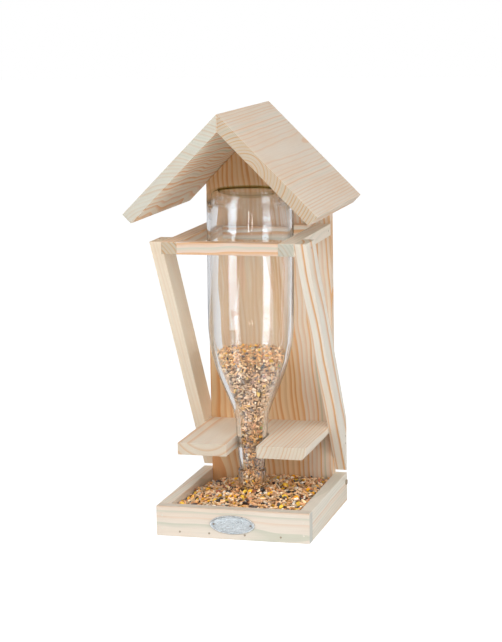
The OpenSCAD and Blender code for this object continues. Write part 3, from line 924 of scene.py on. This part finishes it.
class Heap:
    """Grains that have found a place, kept so that no two sit in each other."""

    CELL = 5.0  # millimetres: grid in which near grains are looked up

    def __init__(self, seed, scale, apart):
        """scale: size of the grains, against their kinds'. apart: room that they keep free."""
        self.scale, self.apart = scale, apart
        self.rng = np.random.default_rng(seed)
        self.luck = random.Random(seed)
        self.cells = {}
        self.grains = []
        self.ball_points, self.ball_faces = ball()
        self.shapes = {
            kind: [grain.shape(self.ball_points, self.rng) for _ in range(10)]
            for kind, grain in KINDS.items()
        }

    def pick(self, share):
        """A kind of grain, by the named share."""
        weights = [getattr(grain, share) for grain in KINDS.values()]
        return self.luck.choices(list(KINDS), weights)[0]

    def size(self, kind):
        """Half sizes of one grain of a kind."""
        grain = KINDS[kind]
        grow = max(0.55, self.luck.gauss(1.0, grain.spread)) * self.scale
        return [h * grow * self.luck.uniform(0.9, 1.1) for h in grain.half]

    def cell(self, place):
        return tuple(int(c // self.CELL) for c in place)

    def free(self, place, room):
        """True if no placed grain is nearer than both grains' room allows."""
        x, y, z = place
        i, j, k = self.cell(place)
        for step in product((-1, 0, 1), repeat=3):
            near = (i + step[0], j + step[1], k + step[2])
            for other, their_room in self.cells.get(near, ()):
                apart = (x - other[0]) ** 2 + (y - other[1]) ** 2 + (z - other[2]) ** 2
                if apart < (room + their_room) ** 2:
                    return False
        return True

    def add(self, kind, place, half, up, tilt):
        """Lays a grain's flat side against a surface, with some tilt, if its place is free."""
        room = (half[0] * half[1] * half[2]) ** (1 / 3) * self.apart
        if not self.free(place, room):
            return
        self.cells.setdefault(self.cell(place), []).append((place, room))
        flat = Vector(up).normalized().to_track_quat("Z", "Y").to_matrix()
        spin = Matrix.Rotation(self.luck.uniform(0, 2 * math.pi), 3, "Z")
        lean = Matrix.Rotation(self.luck.gauss(0, tilt), 3, "X") @ Matrix.Rotation(
            self.luck.gauss(0, tilt), 3, "Y")
        self.grains.append((kind, place, half, flat @ lean @ spin))

    def pieces(self, place, body, node, keep):
        """Makes one piece for each kind. keep moves each grain's points into their room."""
        for kind in KINDS:
            mine = [g for g in self.grains if g[0] == kind]
            if not mine:
                continue
            blocks = []
            for _, middle, half, turn in mine:
                shape = self.luck.choice(self.shapes[kind]) * np.array(half)
                blocks.append(keep(shape @ np.array(turn).T + np.array(middle)))
            points = np.concatenate(blocks) * MM
            count = len(self.ball_points)
            faces = np.concatenate([self.ball_faces + i * count for i in range(len(mine))])
            mesh = bpy.data.meshes.new(place + kind)
            mesh.vertices.add(len(points))
            mesh.vertices.foreach_set("co", points.ravel())
            mesh.loops.add(faces.size)
            mesh.loops.foreach_set("vertex_index", faces.ravel())
            mesh.polygons.add(len(faces))
            mesh.polygons.foreach_set("loop_start", np.arange(0, faces.size, 3))
            mesh.polygons.foreach_set("loop_total", np.full(len(faces), 3))
            mesh.update(calc_edges=True)
            piece(place + kind, mesh, body, node, seed_material(place, kind),
                  KINDS[kind].shape is not cut_chip)


def seed_filler(name, light):
    """Matt dark brown for the seed that lies deeper than the grains that are made one by one:
    painted shade of that deeper seed, and light sets how bright the painted shade is.
    """
    shade = Shade(name)
    fine = shade.noise(shade.place(), 0.45, 3.0, 0.7)
    # painted shade: the deeper seed is coloured dark brown, as if shaded by the grains over it
    colour = shade.node("ValToRGB", {"stops": [
        (0.3, (0.04, 0.022, 0.01)), (0.5, (0.20, 0.11, 0.05)), (0.75, (0.45, 0.27, 0.13))]},
        {"Fac": fine}) * light
    return shade.finish({"Base Color": colour, "Roughness": 0.8,
                         "Normal": shade.bump(fine, 0.002, 1.0)})


TOP_SHARE, TOP_DEPTH = 0.3, 9.0  # grains that are tried for the top, and how deep they may lie
GLASS_SHARE = 0.65               # grains of the rest that are laid right against the glass
BED_DEPTH = 3.0                  # millimetres from the tray's heap down to the bed under it


class FEEDER_OT_bottle_seed(bpy.types.Operator):
    """Fill the bottle's neck and shoulder with grains"""

    bl_idname = "feeder.bottle_seed"
    bl_label = "Seed in the Bottle"

    def execute(self, context):
        settings = context.scene.feeder_seed
        level = settings.bottle_level / MM
        rings = [r for r in inner_profile() if r[1] < SHOULDER_Z + 1]
        heights, radii = np.array([r[1] for r in rings]), np.array([r[0] for r in rings])
        low = MOUTH_Z + 0.8

        def radius(z):
            """Room that the glass leaves at a height."""
            return np.interp(z, heights, radii) - 0.2

        heap = Heap(5, 0.74, 0.72)
        luck = heap.luck
        for _ in range(settings.bottle_grains):
            kind = heap.pick("in_bottle")
            half = heap.size(kind)
            on_top = luck.random() < TOP_SHARE
            turn_at = luck.uniform(0, 2 * math.pi)
            if on_top:
                z = level - luck.uniform(half[2], TOP_DEPTH) + luck.gauss(0, 0.8)
                r = radius(z) * math.sqrt(luck.random()) - half[2]
                up, tilt = (0, 0, 1), 0.7
            else:
                z = luck.uniform(low + half[2], level - half[2])
                if luck.random() > radius(z) / radii.max():
                    continue
                inwards = 0.0 if luck.random() < GLASS_SHARE else luck.uniform(1.5, 5.0)
                depth = half[2] + inwards
                r = radius(z) - depth
                up, tilt = (math.cos(turn_at), math.sin(turn_at), -0.25), 0.45
            if r < 0:
                continue
            place = (r * math.cos(turn_at), r * math.sin(turn_at), z)
            heap.add(kind, place, half, up, tilt)

        def keep(points):
            """Moves a grain in until it is clear of the glass and up above the mouth, then puts it
            where the bottle stands."""
            for _ in range(3):
                out = np.hypot(points[:, 0], points[:, 1])
                over = out - radius(points[:, 2])
                worst = int(np.argmax(over))
                if over[worst] > 0:
                    way = points[worst, :2] / max(out[worst], 1e-6)
                    points[:, :2] -= way * over[worst]
                points[:, 2] += max(0.0, low - points[:, 2].min())
            return upturned(points)

        core = [(0.0, low + 4)] + [(float(radius(z)) - 3.4, z) for z in
                                   np.linspace(low + 4, level - 6, 40)] + [(0.0, level - 5.5)]
        points, faces = spun(core, 64)
        mesh = solid("bottle_seed_core", upturned(points), faces)
        piece("bottle_seed_core", mesh, BOTTLE, "bottle_seed",
              seed_filler("seed_core", 1.5), True)
        heap.pieces("bottle_", BOTTLE, "bottle_seed", keep)
        return {"FINISHED"}


def seed_bed(lo, hi, top):
    """A block between two corners that fills the tray to just under the height that top gives."""
    cols, rows = 44, 48
    bed = [(lo.x + (hi.x - lo.x) * i / cols, lo.y + (hi.y - lo.y) * j / rows)
           for j in range(rows + 1) for i in range(cols + 1)]
    upper = [(x, y, top(x, y) - BED_DEPTH) for x, y in bed]
    lower = [(x, y, lo.z) for x, y in bed]
    count, w = len(bed), cols + 1
    faces = []
    for a in (j * w + i for j in range(rows) for i in range(cols)):
        faces.append((a, a + 1, a + w + 1, a + w))
        faces.append((count + a, count + a + w, count + a + w + 1, count + a + 1))
    edge = [*range(cols), *range(cols, rows * w + cols, w)]
    edge += [*range(rows * w + cols, rows * w, -1), *range(rows * w, 0, -w)]
    faces += skin([[count + a for a in edge], edge])
    return solid("tray_seed_bed", upper + lower, faces)


class FEEDER_OT_tray_seed(bpy.types.Operator):
    """Spread grains over the tray"""

    bl_idname = "feeder.tray_seed"
    bl_label = "Seed in the Tray"

    def execute(self, context):
        settings = context.scene.feeder_seed
        lo, hi = (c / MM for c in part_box("tray_seed"))
        limit = MOUTH_Z - 0.6

        def top(x, y):
            """Height of the heap: full in front and to the right, lower along the left rail and
            lowest in the back left corner."""
            back = max(0.0, (y - 20) / 62)
            left = max(0.0, (-x - 5) / 58)
            ripple = 1.2 * noise.noise(Vector((x / 17.0, y / 17.0, 4.0)))
            return 28.3 + ripple - 3.0 * back - 3.5 * back * left - 5.5 * left ** 1.5

        heap = Heap(23, 1.2, 0.92)
        luck = heap.luck
        for _ in range(settings.tray_grains):
            kind = heap.pick("in_tray")
            half = heap.size(kind)
            x = luck.uniform(lo.x + half[1], hi.x - half[1])
            y = luck.uniform(lo.y + half[1], hi.y - half[1])
            depth = luck.choice((0.0, 0.0, 1.0, 2.4, 4.0))
            z = top(x, y) - half[2] * 0.6 - depth + luck.gauss(0, 0.5)
            heap.add(kind, (x, y, z), half, (0, 0, 1), 0.5)

        def keep(points):
            """Moves a grain back between the rails and under the bottle's mouth."""
            for axis in (0, 1):
                points[:, axis] += max(0.0, lo[axis] + 0.02 - points[:, axis].min())
                points[:, axis] -= max(0.0, points[:, axis].max() - hi[axis] + 0.02)
            points[:, 2] -= max(0.0, points[:, 2].max() - limit)
            return points

        piece("tray_seed_bed", seed_bed(lo, hi, top), STAND, "tray_seed",
              seed_filler("seed_bed", 0.5), True)
        heap.pieces("tray_", STAND, "tray_seed", keep)
        return {"FINISHED"}


# Plaque

def zinc(settings, middle_z):
    """Galvanised sheet: soft crystals and fine scuffs, with a painted highlight on the rim and
    painted shade in the groove inside it.
    """
    shade = Shade("zinc_sheet")
    here = shade.place()
    spangle = shade.node("TexVoronoi", None, {"Vector": here, "Scale": 0.35}, "Color").dot(
        (0.33, 0.33, 0.34))
    scuff = shade.noise(here * (1.0, 1.0, 2.0), 0.7, 4.0, 0.65)
    oval = (here - (0, 0, middle_z)) * (2 * MM / settings.width, 0, 2 * MM / settings.height)
    reach = oval.dot((1, 0, 0)) ** 2 + oval.dot((0, 0, 1)) ** 2
    # the rim, where a highlight is painted, and the groove inside it, where shade is painted
    rim = reach.step(0.80, 0.88)
    groove_shade = reach.step(0.66, 0.76) * (1.0 - rim)
    colour = shade.mix(spangle, tuple(c * 0.9 for c in settings.colour),
                       tuple(min(1.0, c * 1.12) for c in settings.colour))
    worn = (scuff - 0.5) * 1.1 + (shade.noise(here, 0.22, 2.0) - 0.5) * 0.5 + 0.96
    # painted highlight on the rolled rim and painted shade in the groove
    colour = colour * worn * (rim * 0.16 - groove_shade * 0.2 + 1.0)
    return shade.finish({
        "Base Color": colour, "Metallic": 0.85,
        "Roughness": scuff * 0.3 + spangle * 0.15 + 0.1,
        "Normal": shade.bump(scuff, 0.0016, 0.5),
    })


class FEEDER_OT_plaque(bpy.types.Operator):
    """Make the plain oval plaque with its rolled rim, and finish its nails"""

    bl_idname = "feeder.plaque"
    bl_label = "Plaque"

    def execute(self, context):
        settings = context.scene.feeder_plaque
        lo, hi = (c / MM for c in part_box("plaque"))
        face_y, middle_z = hi.y, (lo.z + hi.z) / 2
        half_w, half_h = settings.width / MM / 2, settings.height / MM / 2
        # (distance in from the edge, height over the rail), from the back of the edge inwards
        section = [(0.0, 0.0), (0.0, 0.75), (0.12, 1.08), (0.4, 1.27), (0.75, 1.25), (1.05, 1.02),
                   (1.25, 0.8), (1.6, 0.72), (2.6, 0.75), (4.0, 0.83), (6.0, 0.92)]
        segments, points, rows = 160, [], []
        for inset, height in section:
            rows.append(range(len(points), len(points) + segments))
            for j in range(segments):
                a = 2 * math.pi * j / segments
                points.append(((half_w - inset) * math.cos(a), face_y - height,
                               middle_z + (half_h - inset) * math.sin(a)))
        points += [(0, face_y - 0.97, middle_z), (0, face_y, middle_z)]
        rows = [[len(points) - 1], *rows, [len(points) - 2]]
        mesh = solid("oval_plaque", points, skin(rows))
        piece("oval_plaque", mesh, STAND, "plaque", zinc(settings, middle_z), True)
        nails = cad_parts["plaque_nails"]
        nails.material_slots[0].material = steel("plaque_nail", (0.34, 0.27, 0.21), 0.6)
        return {"FINISHED"}


# Fasteners

def steel(name, colour, metallic):
    """Plain wire steel, dulled in spots."""
    shade = Shade(name)
    here = shade.place()
    spots = shade.noise(here, 2.5, 3.0, 0.6)
    tone = shade.mix(spots.step(0.4, 0.7), tuple(colour), tuple(c * 0.55 for c in colour))
    return shade.finish({
        "Base Color": tone, "Metallic": metallic, "Roughness": spots * 0.3 + 0.3,
        "Normal": shade.bump(spots, 0.0002, 0.4)})


class FEEDER_OT_fasteners(bpy.types.Operator):
    """Finish the brads and screws"""

    bl_idname = "feeder.fasteners"
    bl_label = "Fasteners"

    def execute(self, context):
        brad = steel("brad_steel", (0.42, 0.32, 0.22), 0.6)
        screw = steel("screw_steel", (0.42, 0.33, 0.22), 0.8)
        filled = steel("filled_brad", (0.86, 0.79, 0.67), 0.0)
        for name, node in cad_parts.items():
            if name == "tray_corner_brads":
                node.material_slots[0].material = filled
            elif name.endswith("_brads"):
                node.material_slots[0].material = brad
            elif name.endswith("_screws"):
                node.material_slots[0].material = screw
        return {"FINISHED"}


class FEEDER_PT_panel(bpy.types.Panel):
    """Shows the feeder's settings, and the buttons that make its pieces"""

    bl_idname = "FEEDER_PT_panel"
    bl_label = "Bottle Bird Feeder"
    bl_space_type = "VIEW_3D"
    bl_region_type = "UI"
    bl_category = "Feeder"

    def draw(self, context):
        for settings, operators in GROUPS:
            box = self.layout.box()
            for name in getattr(context.scene, settings).__annotations__:
                box.prop(getattr(context.scene, settings), name)
            for operator in operators:
                box.operator(operator.bl_idname)


GROUPS = (
    ("feeder_stage", (FEEDER_OT_stage,)),
    ("feeder_pine", (FEEDER_OT_boards,)),
    ("feeder_bottle", (FEEDER_OT_bottle,)),
    ("feeder_seed", (FEEDER_OT_bottle_seed, FEEDER_OT_tray_seed)),
    ("feeder_plaque", (FEEDER_OT_plaque, FEEDER_OT_fasteners)),
)
SETTINGS = {
    "feeder_stage": FeederStageSettings, "feeder_pine": FeederPineSettings,
    "feeder_bottle": FeederBottleSettings, "feeder_seed": FeederSeedSettings,
    "feeder_plaque": FeederPlaqueSettings,
}
OPERATORS = tuple(operator for _, operators in GROUPS for operator in operators)
CLASSES = (*SETTINGS.values(), *OPERATORS, FEEDER_PT_panel)


def register():
    for made in CLASSES:
        bpy.utils.register_class(made)
    for name, settings in SETTINGS.items():
        setattr(bpy.types.Scene, name, PointerProperty(type=settings))


def unregister():
    for name in SETTINGS:
        delattr(bpy.types.Scene, name)
    for made in reversed(CLASSES):
        bpy.utils.unregister_class(made)


def main():
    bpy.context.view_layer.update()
    register()
    bpy.ops.feeder.stage()
    bpy.ops.feeder.boards()
    bpy.ops.feeder.bottle()
    bpy.ops.feeder.bottle_seed()
    bpy.ops.feeder.tray_seed()
    bpy.ops.feeder.plaque()
    bpy.ops.feeder.fasteners()
    bpy.context.view_layer.update()


if __name__ == "__main__":
    main()
